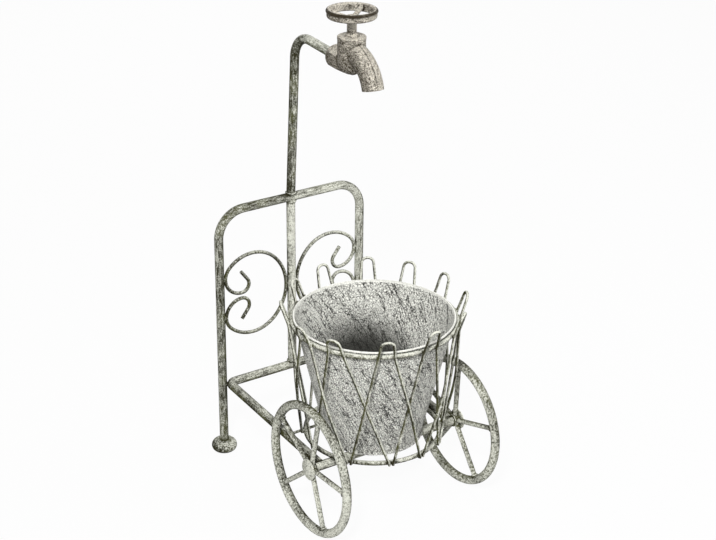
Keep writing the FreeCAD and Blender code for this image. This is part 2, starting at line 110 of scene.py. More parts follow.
ZINC = SimpleNamespace(
    slant_deg=36.0, bend_size=2.2, bend_reach=1.1,
    crease_bend_size=4.0, crease_bend_reach=1.6, crease_size=2.2, crease_width=0.024, crease_draw=0.09,
    wrinkle_size=0.7, wrinkle_width=0.065, wrinkle_draw=0.5,
    grain_bend_size=0.5, grain_bend_reach=0.35, grain_size=0.5, grain_width=0.16,
    frost_size=1.6, cloud_size=5.0, cloud_draw=0.3,
    wrinkles=0.5, grain=1.05, creases=0.75, frost=0.4, cloud=0.85, bare=0.985, outside=0.12, rim_clean=0.7,
    inside_limits=(0.02, 0.12), level_limits=(0.5, 0.8), rim_drops=(0.0028, 0.0022),
    # Heights and strength of the painted shade low inside the pot.
    inner_shade_heights=(0.1, 0.42), inner_shade=0.95,
    rough=0.55, frost_rough=0.2,
    wrinkle_relief=0.6, crease_relief=0.8, grain_relief=0.4, frost_relief=0.4, rim_smooth=0.8,
    gloss=0.25, metallic=0.1,
)

# Welding: reach and spoke_r are in metres, sizes scale a bead, and shifts are shares of a tube's radius

WELD = SimpleNamespace(
    reach=0.0012, spoke_r=0.0027,
    spot_shape=(0.9, 0.9, 1.45), fillet_segments=36, fillet_sides=8, ripple_every=3,
    wire_size=0.8, scroll_size=1.0, corner_size=1.7, axle_size=1.6,
    spot_turn_deg=40.0, pipe_turn_deg=130.0, foot_turn_deg=250.0, spoke_turn_deg=70.0,
    pipe_setback=0.06, foot_rise=0.9, axle_inset=1.1, axle_setback=0.75, axle_sink=0.1,
    line_steps=90, ring_overlap_deg=3,
)


# Settings

def colour(name, description, default):
    return bpy.props.FloatVectorProperty(
        name=name, description=description, default=default, subtype="COLOR", size=3, min=0.0, max=1.0)


def length(name, description, default):
    return bpy.props.FloatProperty(
        name=name, description=description, default=default, unit="LENGTH", subtype="DISTANCE", precision=4)


def position(name, description, default):
    return bpy.props.FloatVectorProperty(
        name=name, description=description, default=default, unit="LENGTH", subtype="TRANSLATION")


def angle(name, description, degrees):
    return bpy.props.FloatProperty(
        name=name, description=description, default=math.radians(degrees), unit="ROTATION", subtype="ANGLE")


def power(name, description, default):
    return bpy.props.FloatProperty(name=name, description=description, default=default, unit="POWER")


def amount(name, description, default):
    return bpy.props.FloatProperty(name=name, description=description, default=default, min=0.0, soft_max=1.0)


class StoolFinishes(bpy.types.PropertyGroup):
    """Colours and grain of the painted, cast and zinc surfaces."""

    whitewash: colour("Whitewash", "Brushed-on top coat of the frame", (0.63, 0.635, 0.557))
    undercoat: colour("Undercoat", "Dark coat that shows where the whitewash is thin", (0.024, 0.023, 0.010))
    moss: colour("Moss", "Green-brown cast on the dark coat", (0.066, 0.068, 0.024))
    tap_glaze: colour("Tap paint", "Crackled paint of the tap", (0.75, 0.70, 0.60))
    # This brown is also painted shade in the tap's hollows and on its sides that face down and left.
    tap_grime_and_shade: colour("Tap grime", "Brown in the tap's cracks and hollows", (0.034, 0.026, 0.014))
    zinc: colour("Zinc", "Light face of the pot's wrinkled zinc", (0.87, 0.87, 0.81))
    zinc_shade: colour("Zinc shade", "Dark creases of the zinc", (0.040, 0.040, 0.034))
    # This colour is painted shade low inside the pot.
    inner_shade: colour("Soil", "Dirt low inside the pot", (0.020, 0.020, 0.016))
    brush_length: length("Brush streak", "Length of one streak of whitewash", 0.02)
    crackle_size: length("Crackle", "Spacing of the cracks in the tap's paint", 0.0028)
    crease_size: length("Crease", "Spacing of the wrinkles of the zinc", 0.005)
    paint_depth: length("Paint relief", "Depth of the brush marks and cracks", 0.0006)
    zinc_depth: length("Zinc relief", "Depth of the zinc's wrinkles", 0.0011)


class StoolWelds(bpy.types.PropertyGroup):
    """Sizes of the weld beads."""

    spot: length("Spot bead", "Radius of the bead where two wires touch", 0.0022)
    fillet: length("Fillet bead", "Half thickness of the bead round a tube's end", 0.0012)
    roughness: length("Unevenness", "How far a bead's surface strays", 0.0003)


class StoolStudio(bpy.types.PropertyGroup):
    """Camera, lamps and floor."""

    camera_place: position("Camera", "Where the camera stands", (-0.857564, -1.27645, 0.974579))
    camera_azimuth: angle("Azimuth", "Turn of the camera round the stool", -34.087)
    camera_elevation: angle("Elevation", "Height of the camera above the horizon", 25.042)
    camera_roll: angle("Roll", "Lean of the camera", 0.699)
    camera_reach: length("Camera reach", "How far the camera sees", 50.0)
    focal_pixels: bpy.props.FloatProperty(
        name="Focal length in pixels", description="Focal length at the photograph's size", default=1594.25)
    image_width: bpy.props.IntProperty(
        name="Image width", description="Width of the photograph in pixels", default=716)
    sensor_width: bpy.props.FloatProperty(
        name="Sensor width", description="Width of the camera's sensor in millimetres", default=36.0)
    key_place: position("Key place", "Where the lamp high on the left stands", (-1.15, -1.35, 1.75))
    key_size: length("Key size", "Width of the lamp high on the left", 0.4)
    key_power: power("Key", "Power of the lamp high on the left", 64.0)
    fill_place: position("Fill place", "Where the soft lamp on the right stands", (1.5, -0.9, 1.0))
    fill_power: power("Fill", "Power of the soft lamp on the right", 15.0)
    back_place: position("Back place", "Where the soft lamp behind stands", (0.9, 1.9, 1.3))
    back_power: power("Back", "Power of the soft lamp behind", 16.0)
    soft_size: length("Soft size", "Width of the two soft lamps", 1.2)
    lamp_target: position("Lamp target", "What the lamps point at", (0.0, 0.0, 0.24))
    sky_strength: amount("Sky", "Strength of the even light from all round", 0.24)
    floor_colour: colour("Floor", "Pale floor and backdrop", (0.62, 0.62, 0.62))
    floor_white: amount("Floor white", "How far the camera sees the floor as plain white", 0.95)
    floor_rough: amount("Floor roughness", "Roughness of the floor", 0.9)
    floor_gloss: amount("Floor gloss", "Specular level of the floor", 0.1)
    floor_size: length("Floor size", "Width of the floor", 12.0)
    floor_drop: length("Floor drop", "How far the floor lies under the wheels and feet", 0.0005)


# Shader maths

class Field:
    """A shader socket; an expression on it adds the Math nodes that it needs."""

    def __init__(self, tree, socket):
        self.tree = tree
        self.socket = socket

    def node(self, kind, settings, sockets, output=0):
        """Add a node: its settings first, then the values or links of its sockets."""
        made = self.tree.nodes.new(kind)
        for name, value in settings.items():
            setattr(made, name, value)
        for name, value in sockets.items():
            if isinstance(value, Field):
                self.tree.links.new(value.socket, made.inputs[name])
            else:
                made.inputs[name].default_value = value
        return Field(self.tree, made.outputs[output])

    def combine(self, operation, first, second):
        """A Math node of two values."""
        return self.node("ShaderNodeMath", {"operation": operation}, {0: first, 1: second})

    def __add__(self, other):
        return self.combine("ADD", self, other)

    def __radd__(self, other):
        return self.combine("ADD", other, self)

    def __sub__(self, other):
        return self.combine("SUBTRACT", self, other)

    def __rsub__(self, other):
        return self.combine("SUBTRACT", other, self)

    def __mul__(self, other):
        return self.combine("MULTIPLY", self, other)

    def __rmul__(self, other):
        return self.combine("MULTIPLY", other, self)

    def __abs__(self):
        return self.node("ShaderNodeMath", {"operation": "ABSOLUTE"}, {0: self})

    def between(self, low, high):
        """0 below low, 1 above high, eased between."""
        settings = {"interpolation_type": "SMOOTHSTEP"}
        return self.node("ShaderNodeMapRange", settings, {"Value": self, "From Min": low, "From Max": high})

    def mix(self, first, second):
        """The first colour where this is 0 and the second where it is 1."""
        return self.node("ShaderNodeMix", {"data_type": "RGBA"}, {0: self, 6: first, 7: second}, output=2)

    def mix_places(self, first, second):
        """The first place where this is 0 and the second where it is 1."""
        return self.node("ShaderNodeMix", {"data_type": "VECTOR"}, {0: self, 4: first, 5: second}, output=1)

    def vector(self, operation, other):
        """A Vector Math node of this and another vector."""
        return self.node("ShaderNodeVectorMath", {"operation": operation}, {0: self, 1: other})

    def along(self, direction):
        """How far a normal leans, or a place lies, along a direction."""
        settings = {"operation": "DOT_PRODUCT"}
        return self.node("ShaderNodeVectorMath", settings, {0: self, 1: direction}, output="Value")

    def coordinate(self, axis):
        """One of a place's x, y and z."""
        return self.node("ShaderNodeSeparateXYZ", {}, {"Vector": self}, output="xyz".index(axis))

    def noise(self, size, detail, roughness, stretch=(1.0, 1.0, 1.0)):
        """Noise over a place, with features about as wide as size."""
        scaled = self.node("ShaderNodeMapping", {}, {"Vector": self, "Scale": stretch})
        sockets = {"Vector": scaled, "Scale": 1.0 / size, "Detail": detail, "Roughness": roughness}
        return self.node("ShaderNodeTexNoise", {}, sockets)

    def veins(self, size, width, draw=1.0):
        """1 on winding lines between soft patches of that size, falling to 0 at a width away.

        A draw under 1 makes the lines longer along y."""
        patches = self.noise(size, detail=3.0, roughness=0.5, stretch=(1.0, draw, 1.0))
        return 1 - abs(patches - 0.5).between(0.0, width)

    def cells(self, size, width):
        """1 on the edges between cells of that size, falling to 0 at a width, as a share of a cell, away."""
        sockets = {"Vector": self, "Scale": 1.0 / size}
        away = self.node("ShaderNodeTexVoronoi", {"feature": "DISTANCE_TO_EDGE"}, sockets)
        return 1 - away.between(0.0, width)

    def wandered(self, size, reach):
        """A place, shifted by soft noise so that a pattern on it bends."""
        sockets = {"Vector": self, "Scale": 1.0 / size, "Detail": 2.0}
        drift = self.node("ShaderNodeTexNoise", {}, sockets, output="Color")
        centred = drift.vector("SUBTRACT", (0.5, 0.5, 0.5))
        shift = self.node("ShaderNodeVectorMath", {"operation": "SCALE"}, {0: centred, "Scale": reach})
        return self.vector("ADD", shift)


def opaque(tint):
    return (tint[0], tint[1], tint[2], 1.0)


def new_finish(name):
    """An empty material, with its shader, its Object coordinates and its surface normal."""
    material = bpy.data.materials.new(name)
    material.use_nodes = True
    tree = material.node_tree
    shader = tree.nodes["Principled BSDF"]
    surface = tree.nodes.new("ShaderNodeTexCoord")
    place = Field(tree, surface.outputs["Object"])
    normal = Field(tree, surface.outputs["Normal"])
    return material, shader, place, normal


def wire_up(shader, base, roughness, height, depth, gloss):
    """Link a finish's colour, roughness and relief to its shader, and set its gloss."""
    tree = base.tree
    tree.links.new(base.socket, shader.inputs["Base Color"])
    tree.links.new(roughness.socket, shader.inputs["Roughness"])
    bump = base.node("ShaderNodeBump", {}, {"Height": height, "Distance": depth, "Strength": 1.0})
    tree.links.new(bump.socket, shader.inputs["Normal"])
    shader.inputs["Specular IOR Level"].default_value = gloss


def crevice(place, reach, own_piece):
    """1 deep in a corner between surfaces within reach, and 0 in the open: ambient occlusion, which the
    finishes use as painted shade with grime in corners and hollows.
    """
    settings = {"samples": 8, "only_local": own_piece}
    return 1 - place.node("ShaderNodeAmbientOcclusion", settings, {"Distance": reach}, output="AO")


# Finishes

Bend = namedtuple("Bend", "axis turned_at onward gain right_of", defaults=(0.0, None))


def brush_streaks(place, size, along):
    """Streaks about as wide as size, drawn out along an axis, or round spots where it names none."""
    stretch = tuple(WASH.streak_draw if axis == along else 1.0 for axis in "xyz")
    return place.noise(size, detail=4.0, roughness=0.65, stretch=stretch)


def whitewashed_steel(name, cover, along="", lay=0.18, across=None, bend=None, spots=1.0):
    """Whitewash brushed over a dark coat: mottled, streaked, thinner on the undersides, with painted shade on
    the undersides and flanks and, with grime, in corners.

    cover is about the share of the dark coat that the whitewash hides, and along names the axis of its
    streaks. lay is how strongly the finish is lighter on the sides that face up and right, partly as brushed
    whitewash and partly as painted light from above right, across how much it gains, per metre, along x, y
    and z, and spots scales the mottling. A bent tube's Bend gives an axis, the place on it where the tube
    turns, the axis that the streaks follow from there, and how much thicker the whitewash is from there, all
    over or only right of an x."""
    finishes = bpy.context.scene.stool_finishes
    material, shader, place, normal = new_finish(name)
    streak = finishes.brush_length
    streak_width = streak * WASH.streak_width
    streaks = brush_streaks(place, streak_width, along)
    if bend:
        reach = streak * WASH.bend_reach
        turned = place.coordinate(bend.axis).between(bend.turned_at - reach, bend.turned_at + reach)
        streaks = streaks * (1 - turned) + brush_streaks(place, streak_width, bend.onward) * turned
    mottle = place.noise(streak * WASH.mottle_size * spots, detail=3.0, roughness=0.7)
    patches = place.noise(streak * WASH.patch_size, detail=3.0, roughness=0.5)
    specks = place.noise(streak * WASH.speck_size, detail=2.0, roughness=0.6)
    # Painted shade on the flanks, the sides that face neither towards nor away from one fixed direction.
    flank_shade = 1 - abs(normal.along(FLANK_SHADE_AXIS)).between(*WASH.flank_shade_limits)
    # Painted shade with grime: darker in corners and where other pieces or the floor come close, plus the
    # painted shade on the flanks.
    grime_and_shade = crevice(place, streak * WASH.crevice_reach, False) * WASH.crevices + flank_shade * WASH.flank_shade
    wash = streaks * WASH.streaks + mottle * WASH.mottle + patches * WASH.patches
    # Partly painted light: lighter on the sides that face up and right, as well as where the whitewash was
    # brushed on.
    wash = wash + normal.along(LIT_AND_BRUSHED_FROM) * lay - grime_and_shade + (cover - 1.0)
    if across:
        wash = wash + place.along(across)
    if bend and bend.gain:
        thicker = turned * bend.gain
        if bend.right_of is not None:
            thicker = thicker * place.coordinate("x").between(bend.right_of, bend.right_of + streak)
        wash = wash + thicker
    coat = wash.between(*WASH.coat_limits) * (1 - specks.between(*WASH.speck_limits) * WASH.specks)
    painted = coat.mix(opaque(finishes.undercoat), opaque(finishes.whitewash))
    moss = (1 - coat) * patches.between(*WASH.moss_limits) * WASH.moss
    base = moss.mix(painted, opaque(finishes.moss))
    rough = WASH.rough - coat * WASH.coat_rough + specks * WASH.speck_rough
    relief = coat * WASH.coat_relief + streaks * WASH.streak_relief + mottle * WASH.mottle_relief
    wire_up(shader, base, rough, relief, finishes.paint_depth, WASH.gloss)
    return material


def gripped_rim(place):
    """1 on the outer edge of the handwheel's crown, where handling has darkened the paint."""
    low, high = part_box("handwheel")
    outer = (high.x - low.x) / 2
    level = place.vector("SUBTRACT", centre_of("handwheel")).vector("MULTIPLY", (1.0, 1.0, 0.0))
    radius = place.node("ShaderNodeVectorMath", {"operation": "LENGTH"}, {0: level}, output="Value")
    edge = radius.between(*(outer - inset for inset in CRACKLE.grip_insets))
    return edge * place.coordinate("z").between(*(high.z - drop for drop in CRACKLE.crown_drops))


def neck_painted_light(place):
    """Less than 0 on the bonnet's neck: painted light that lifts the shade under the handwheel."""
    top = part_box("tap_bonnet")[1].z
    return place.coordinate("z").between(*(top - drop for drop in CRACKLE.neck_drops)) * -CRACKLE.neck_light


def crackled_casting(name, clean=0.0, handling_and_light=None):
    """Beige paint crazed by brown winding cracks over a cast body, paler on worn patches and, as painted
    light, on the sides that face up and right; darker with grime and painted shade in its hollows.

    clean is how much of the brown is taken away, and the last argument gives, for a place, how far handling
    has darkened it, or, where that is less than 0, how far painted light lightens it."""
    finishes = bpy.context.scene.stool_finishes
    material, shader, place, normal = new_finish(name)
    size = finishes.crackle_size
    bent = place.wandered(size * CRACKLE.bend_size, size * CRACKLE.bend_reach)
    cracks = bent.veins(size * CRACKLE.crack_size, CRACKLE.crack_width)
    craze = bent.veins(size * CRACKLE.craze_size, CRACKLE.craze_width)
    patches = place.noise(size * CRACKLE.patch_size, detail=4.0, roughness=0.6)
    grain = place.noise(size * CRACKLE.grain_size, detail=3.0, roughness=0.65)
    # Wear and painted light: paler on worn patches and on the sides that face up and right; the sides that
    # face down and left get painted shade.
    rubbed_and_lit = patches * CRACKLE.worn_patches + normal.along(LIT_AND_BRUSHED_FROM) * CRACKLE.lit_and_worn_above
    worn_and_lit = (rubbed_and_lit + CRACKLE.worn_all).between(*CRACKLE.worn_limits)
    # Painted shade with grime in the tap's hollows.
    hollows = crevice(place, size, True)
    grime_and_shade = cracks * CRACKLE.cracks + craze * CRACKLE.craze + (1 - worn_and_lit) * CRACKLE.unworn_and_shaded
    grime_and_shade = grime_and_shade + hollows * CRACKLE.hollows + grain * CRACKLE.grain - (CRACKLE.bare + clean)
    if handling_and_light:
        grime_and_shade = grime_and_shade + handling_and_light(place) * CRACKLE.handling
    base = grime_and_shade.mix(opaque(finishes.tap_glaze), opaque(finishes.tap_grime_and_shade))
    rough = CRACKLE.rough + cracks * CRACKLE.crack_rough + grain * CRACKLE.grain_rough
    relief = (1 - cracks) * CRACKLE.crack_relief + (1 - craze) * CRACKLE.craze_relief
    relief = relief + grain * CRACKLE.grain_relief
    wire_up(shader, base, rough, relief, finishes.paint_depth, CRACKLE.gloss)
    return material


def round_pot(place, inside):
    """Arc length round the pot from its front, mirrored inside, and height, as one vector."""
    low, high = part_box("pot")
    middle = centre_of("pot")
    x, y, z = (place.coordinate(axis) for axis in "xyz")
    turn = place.combine("ARCTAN2", x - middle.x, middle.y - y)
    arc = turn * ((high.x - low.x) / 2) * (2 * inside - 1)
    return place.node("ShaderNodeCombineXYZ", {}, {"X": arc, "Y": z})


def pot_inner_shade(place, inside):
    """Painted shade low inside the pot, which reaches higher up the wall on one side."""
    low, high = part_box("pot")
    bare, full = (low.z + (high.z - low.z) * height for height in ZINC.inner_shade_heights)
    climb = place.vector("SUBTRACT", centre_of("pot")).along(SHADED_SIDE)
    inner_shade_line = place.coordinate("z") - climb
    return (1 - inner_shade_line.between(bare, full)) * inside * ZINC.inner_shade


def creased_zinc(name):
    """Frosty zinc, wrinkled all over, with long slanting creases and painted shade low inside."""
    finishes = bpy.context.scene.stool_finishes
    material, shader, place, normal = new_finish(name)
    size = finishes.crease_size
    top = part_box("pot")[1].z
    facing_up = normal.along(UP)
    inside = facing_up.between(*ZINC.inside_limits)
    level = abs(facing_up).between(*ZINC.level_limits)
    wall = level.mix_places(round_pot(place, inside), place)
    turn = (0.0, 0.0, math.radians(ZINC.slant_deg))
    slant = place.node("ShaderNodeMapping", {}, {"Vector": wall, "Rotation": turn})
    bent = slant.wandered(size * ZINC.bend_size, size * ZINC.bend_reach)
    folded = slant.wandered(size * ZINC.crease_bend_size, size * ZINC.crease_bend_reach)
    creases = folded.veins(size * ZINC.crease_size, ZINC.crease_width, ZINC.crease_draw)
    wrinkles = bent.veins(size * ZINC.wrinkle_size, ZINC.wrinkle_width, ZINC.wrinkle_draw)
    grained = bent.wandered(size * ZINC.grain_bend_size, size * ZINC.grain_bend_reach)
    grain = grained.cells(size * ZINC.grain_size, ZINC.grain_width)
    frost = place.noise(size * ZINC.frost_size, detail=3.0, roughness=0.6)
    cloud_stretch = (1.0, ZINC.cloud_draw, 1.0)
    cloud = slant.noise(size * ZINC.cloud_size, detail=3.0, roughness=0.55, stretch=cloud_stretch)
    rim = place.coordinate("z").between(*(top - drop for drop in ZINC.rim_drops))
    marks = wrinkles * ZINC.wrinkles + grain * ZINC.grain + creases * ZINC.creases
    marks = marks + frost * ZINC.frost + cloud * ZINC.cloud - ZINC.bare
    shade = (marks + (1 - inside) * ZINC.outside) * (1 - rim * ZINC.rim_clean)
    creased = shade.mix(opaque(finishes.zinc), opaque(finishes.zinc_shade))
    # Painted shade: darker towards the bottom inside the pot, and higher up the wall on one side.
    base = pot_inner_shade(place, inside).mix(creased, opaque(finishes.inner_shade))
    rough = ZINC.rough + frost * ZINC.frost_rough
    relief = (1 - wrinkles) * ZINC.wrinkle_relief + (1 - creases) * ZINC.crease_relief
    relief = relief + (1 - grain) * ZINC.grain_relief + frost * ZINC.frost_relief
    wire_up(shader, base, rough, relief * (1 - rim * ZINC.rim_smooth), finishes.zinc_depth, ZINC.gloss)
    shader.inputs["Metallic"].default_value = ZINC.metallic
    return material


def paint(nodes, material):
    """Give CAD nodes a finish."""
    for name in nodes:
        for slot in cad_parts[name].material_slots:
            slot.material = material


# Weld beads

def fresh_selection():
    bpy.ops.object.select_all(action="DESELECT")


def keep_piece(name, body, material):
    """Finish the active object as a named piece that moves with a body."""
    piece = bpy.context.object
    bpy.ops.object.transform_apply(location=True, rotation=True, scale=True)
    piece.name = name
    piece.data.name = name
    piece.data.materials.clear()
    piece.data.materials.append(material)
    bpy.ops.object.shade_smooth()
    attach(piece, body)


def join_beads(beads, patterns):
    """Make one object of the beads, leave it active, and delete the patterns they were copied from."""
    fresh_selection()
    for pattern in patterns:
        pattern.select_set(True)
    bpy.ops.object.delete()
    for bead in beads:
        bead.select_set(True)
    bpy.context.view_layer.objects.active = beads[0]
    bpy.ops.object.join()


def model_spot_bead():
    """A lump of weld, drawn out along z, that every spot copies."""
    welds = bpy.context.scene.stool_welds
    fresh_selection()
    bpy.ops.mesh.primitive_ico_sphere_add(subdivisions=2, radius=welds.spot)
    bpy.ops.object.mode_set(mode="EDIT")
    bpy.ops.mesh.select_all(action="SELECT")
    bpy.ops.transform.resize(value=WELD.spot_shape)
    bpy.ops.transform.vertex_random(offset=welds.roughness, seed=1)
    bpy.ops.object.mode_set(mode="OBJECT")
    return bpy.context.object


def model_fillet_bead(radius):
    """A ring of weld of that radius about z, raised in ripples as it was laid."""
    welds = bpy.context.scene.stool_welds
    fresh_selection()
    bpy.ops.mesh.primitive_torus_add(
        major_radius=radius, minor_radius=welds.fillet,
        major_segments=WELD.fillet_segments, minor_segments=WELD.fillet_sides)
    ring = bpy.context.object
    bpy.ops.object.mode_set(mode="EDIT")
    bpy.ops.mesh.select_mode(type="VERT")
    bpy.ops.mesh.select_all(action="SELECT")
    bpy.ops.transform.vertex_random(offset=welds.roughness, seed=1)
    bpy.ops.mesh.select_all(action="DESELECT")
    bpy.ops.object.mode_set(mode="OBJECT")
    for number, vertex in enumerate(ring.data.vertices):
        vertex.select = number // WELD.fillet_sides % WELD.ripple_every == 0
    bpy.ops.object.mode_set(mode="EDIT")
    bpy.ops.transform.shrink_fatten(value=welds.roughness)
    bpy.ops.object.mode_set(mode="OBJECT")
    return ring


def bead_copy(pattern, place, along, size=1.0, turn_deg=0.0):
    """A copy of a bead at a place, its z axis laid along a direction and turned about it."""
    fresh_selection()
    pattern.select_set(True)
    bpy.context.view_layer.objects.active = pattern
    bpy.ops.object.duplicate(linked=False)
    bead = bpy.context.object
    lie = along.to_track_quat("Z", "Y") @ Quaternion(UP, math.radians(turn_deg))
    bead.location = place
    bead.rotation_euler = lie.to_euler()
    bead.scale = (size, size, size)
    bpy.ops.object.transform_apply(location=True, rotation=True, scale=True)
    return bead


def add_spots(beads, pattern, places, along, size):
    """Add a copy of a spot bead at each place, each turned further than the one before it."""
    for place in places:
        beads.append(bead_copy(pattern, place, along, size, WELD.spot_turn_deg * len(beads)))


def nearest_to(node, points, reach):
    """Where a row of points comes closest to a node, once for each stretch within reach of it."""
    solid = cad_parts[node]
    found = []
    best = None
    for point in points:
        hit, surface, _, _ = solid.closest_point_on_mesh(point)
        gap = (surface - point).length if hit else reach
        if gap < reach:
            if best is None or gap < best[0]:
                best = (gap, surface, point)
        elif best is not None:
            found.append(best)
            best = None
    if best is not None:
        found.append(best)
    return [(surface + point) / 2 for _, surface, point in found]


def circle_points(ring):
    """Points a little more than once round a ring, on the outer side of its wire."""
    low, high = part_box(ring)
    middle = (low + high) / 2
    outer = (high.x - low.x) / 2
    turns = [math.radians(step) for step in range(-WELD.ring_overlap_deg, 361)]
    return [middle + Vector((outer * math.cos(turn), outer * math.sin(turn), 0)) for turn in turns]


def upright_points(x, y, low_z, high_z):
    """A row of points up an upright line."""
    steps = WELD.line_steps
    return [Vector((x, y, low_z + (high_z - low_z) * step / steps)) for step in range(steps + 1)]


# Stage

def seen_directly(tree):
    """1 for what the camera sees, also mirrored or through glass, and 0 for light that falls on the stool."""
    path = tree.nodes.new("ShaderNodeLightPath")
    camera, glossy, through = (
        Field(tree, path.outputs[ray]) for ray in ("Is Camera Ray", "Is Glossy Ray", "Is Transmission Ray"))
    return camera.node("ShaderNodeClamp", {}, {"Value": camera + glossy + through})


def camera_white(tree, shaded, strength):
    """Mix a shaded surface with plain white for the camera, mirrors and glass."""
    white = tree.nodes.new("ShaderNodeEmission")
    factor = seen_directly(tree) * strength
    mixed = tree.nodes.new("ShaderNodeMixShader")
    tree.links.new(factor.socket, mixed.inputs[0])
    tree.links.new(shaded, mixed.inputs[1])
    tree.links.new(white.outputs[0], mixed.inputs[2])
    return mixed.outputs[0]


def set_floor(studio):
    """A wide floor that keeps a soft shadow under the stool."""
    fresh_selection()
    bpy.ops.mesh.primitive_plane_add(size=studio.floor_size, location=(0, 0, -studio.floor_drop))
    floor = bpy.context.object
    floor.name = "floor"
    bpy.ops.object.transform_apply(location=True, rotation=False, scale=False)
    material = bpy.data.materials.new("pale_floor")
    material.use_nodes = True
    tree = material.node_tree
    shader = tree.nodes["Principled BSDF"]
    shader.inputs["Base Color"].default_value = opaque(studio.floor_colour)
    shader.inputs["Roughness"].default_value = studio.floor_rough
    shader.inputs["Specular IOR Level"].default_value = studio.floor_gloss
    out = tree.nodes["Material Output"]
    tree.links.new(camera_white(tree, shader.outputs[0], studio.floor_white), out.inputs["Surface"])
    floor.data.materials.append(material)


def set_world(studio):
    """An even pale sky, which the camera sees as plain white."""
    world = bpy.data.worlds.new("studio")
    bpy.context.scene.world = world
    world.use_nodes = True
    tree = world.node_tree
    sky = tree.nodes["Background"]
    sky.inputs["Color"].default_value = opaque((1.0, 1.0, 1.0))
    strength = seen_directly(tree) * (1.0 - studio.sky_strength) + studio.sky_strength
    tree.links.new(strength.socket, sky.inputs["Strength"])


def add_lamp(name, place, target, size, watts):
    """A round lamp at a place, pointed at a target."""
    light = bpy.data.lights.new(name, "AREA")
    light.shape = "DISK"
    light.size = size
    light.energy = watts
    lamp = bpy.data.objects.new(name, light)
    bpy.context.scene.collection.objects.link(lamp)
    lamp.location = place
    lamp.rotation_euler = (Vector(target) - Vector(place)).to_track_quat("-Z", "Y").to_euler()


def add_camera(studio):
    """The photograph's camera: its place, aim, lean and focal length."""
    data = bpy.data.cameras.new("camera")
    data.sensor_width = studio.sensor_width
    data.lens = studio.focal_pixels / studio.image_width * data.sensor_width
    data.clip_end = studio.camera_reach
    turn = studio.camera_azimuth
    rise = studio.camera_elevation
    lean = studio.camera_roll
    back = Vector((math.sin(turn) * math.cos(rise), -math.cos(turn) * math.cos(rise), math.sin(rise)))
    right = Vector((math.cos(turn), math.sin(turn), 0))
    up = back.cross(right)
    side = right * math.cos(lean) + up * math.sin(lean)
    top = up * math.cos(lean) - right * math.sin(lean)
    camera = bpy.data.objects.new("camera", data)
    bpy.context.scene.collection.objects.link(camera)
    axes = Matrix((side, top, back)).transposed().to_4x4()
    camera.matrix_world = Matrix.Translation(Vector(studio.camera_place)) @ axes
    bpy.context.scene.camera = camera


# Operators

class STOOL_OT_frame_finish(bpy.types.Operator):
    """Paint the tubes, feet, scrolls and axle fittings"""

    bl_idname = "stool.frame_finish"
    bl_label = "Frame finish"

    def execute(self, context):
        streak = context.scene.stool_finishes.brush_length
        hoop_bend = Bend("z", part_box("back_hoop")[1].z - streak, "x", gain=0.09, right_of=-streak / 2)
        pipe_bend = Bend("z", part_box("standpipe")[1].z - streak, "y", gain=0.11)
        rail_bend = Bend("y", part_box("base_rail")[1].y - streak, "x")
        paint(["back_hoop"], whitewashed_steel(
            "whitewashed_hoop", cover=0.455, along="z", lay=-0.08, across=(0.56, 0.0, 0.0),
            bend=hoop_bend, spots=0.6))
        paint(["lower_post"], whitewashed_steel("whitewashed_post", cover=0.605, along="z", spots=1.5))
        paint(["standpipe"], whitewashed_steel(
            "whitewashed_pipe", cover=0.395, along="z", lay=0.1, bend=pipe_bend, spots=0.6))
        paint(["base_rail"], whitewashed_steel(
            "whitewashed_rail", cover=0.40, along="y", across=(0.2, 0.0, 0.0), bend=rail_bend, spots=0.7))
        paint(AXLE, whitewashed_steel("whitewashed_axle", cover=0.47, along="x"))
        paint(HUB_CAPS, whitewashed_steel("whitewashed_caps", cover=0.75))
        paint(FEET, whitewashed_steel("whitewashed_feet", cover=0.39, spots=0.9))
        paint(SCROLLS + ["pot_rest_rod"], whitewashed_steel(
            "whitewashed_scrolls", cover=0.40, across=(0.9, 0.0, 0.0), spots=0.6))
        return {"FINISHED"}


class STOOL_OT_basket_finish(bpy.types.Operator):
    """Paint the basket's rings and hairpins"""

    bl_idname = "stool.basket_finish"
    bl_label = "Basket finish"

    def execute(self, context):
        paint(["top_ring"], whitewashed_steel("whitewashed_top_ring", cover=0.505))
        paint(["bottom_ring"], whitewashed_steel("whitewashed_bottom_ring", cover=0.43))
        paint(HAIRPINS, whitewashed_steel(
            "whitewashed_hairpins", cover=0.43, along="z", lay=0.42, across=(0.0, 0.0, 0.33), spots=0.7))
        return {"FINISHED"}


class STOOL_OT_wheel_finish(bpy.types.Operator):
    """Paint both wheels"""

    bl_idname = "stool.wheel_finish"
    bl_label = "Wheel finish"

    def execute(self, context):
        paint(wheel_nodes("left"), whitewashed_steel(
            "whitewashed_left_wheel", cover=0.513, lay=-0.1, across=(0.0, -0.7, -0.55), spots=1.1))
        paint(wheel_nodes("right"), whitewashed_steel(
            "whitewashed_right_wheel", cover=0.475, lay=-0.1, spots=1.1))
        return {"FINISHED"}


class STOOL_OT_tap_finish(bpy.types.Operator):
    """Paint the tap"""

    bl_idname = "stool.tap_finish"
    bl_label = "Tap finish"

    def execute(self, context):
        paint(TAP_CASTINGS, crackled_casting("crackled_tap"))
        paint(["tap_nut"], crackled_casting("crackled_nut", clean=-0.18))
        # The bonnet's neck gets painted light that lifts the shade under the handwheel.
        paint(["tap_bonnet"], crackled_casting("crackled_bonnet", clean=0.06, handling_and_light=neck_painted_light))
        paint(["handwheel"], crackled_casting("crackled_handwheel", clean=0.1, handling_and_light=gripped_rim))
        return {"FINISHED"}


class STOOL_OT_pot_finish(bpy.types.Operator):
    """Give the pot its creased zinc"""

    bl_idname = "stool.pot_finish"
    bl_label = "Pot finish"

    def execute(self, context):
        paint(["pot"], creased_zinc("creased_zinc"))
        return {"FINISHED"}


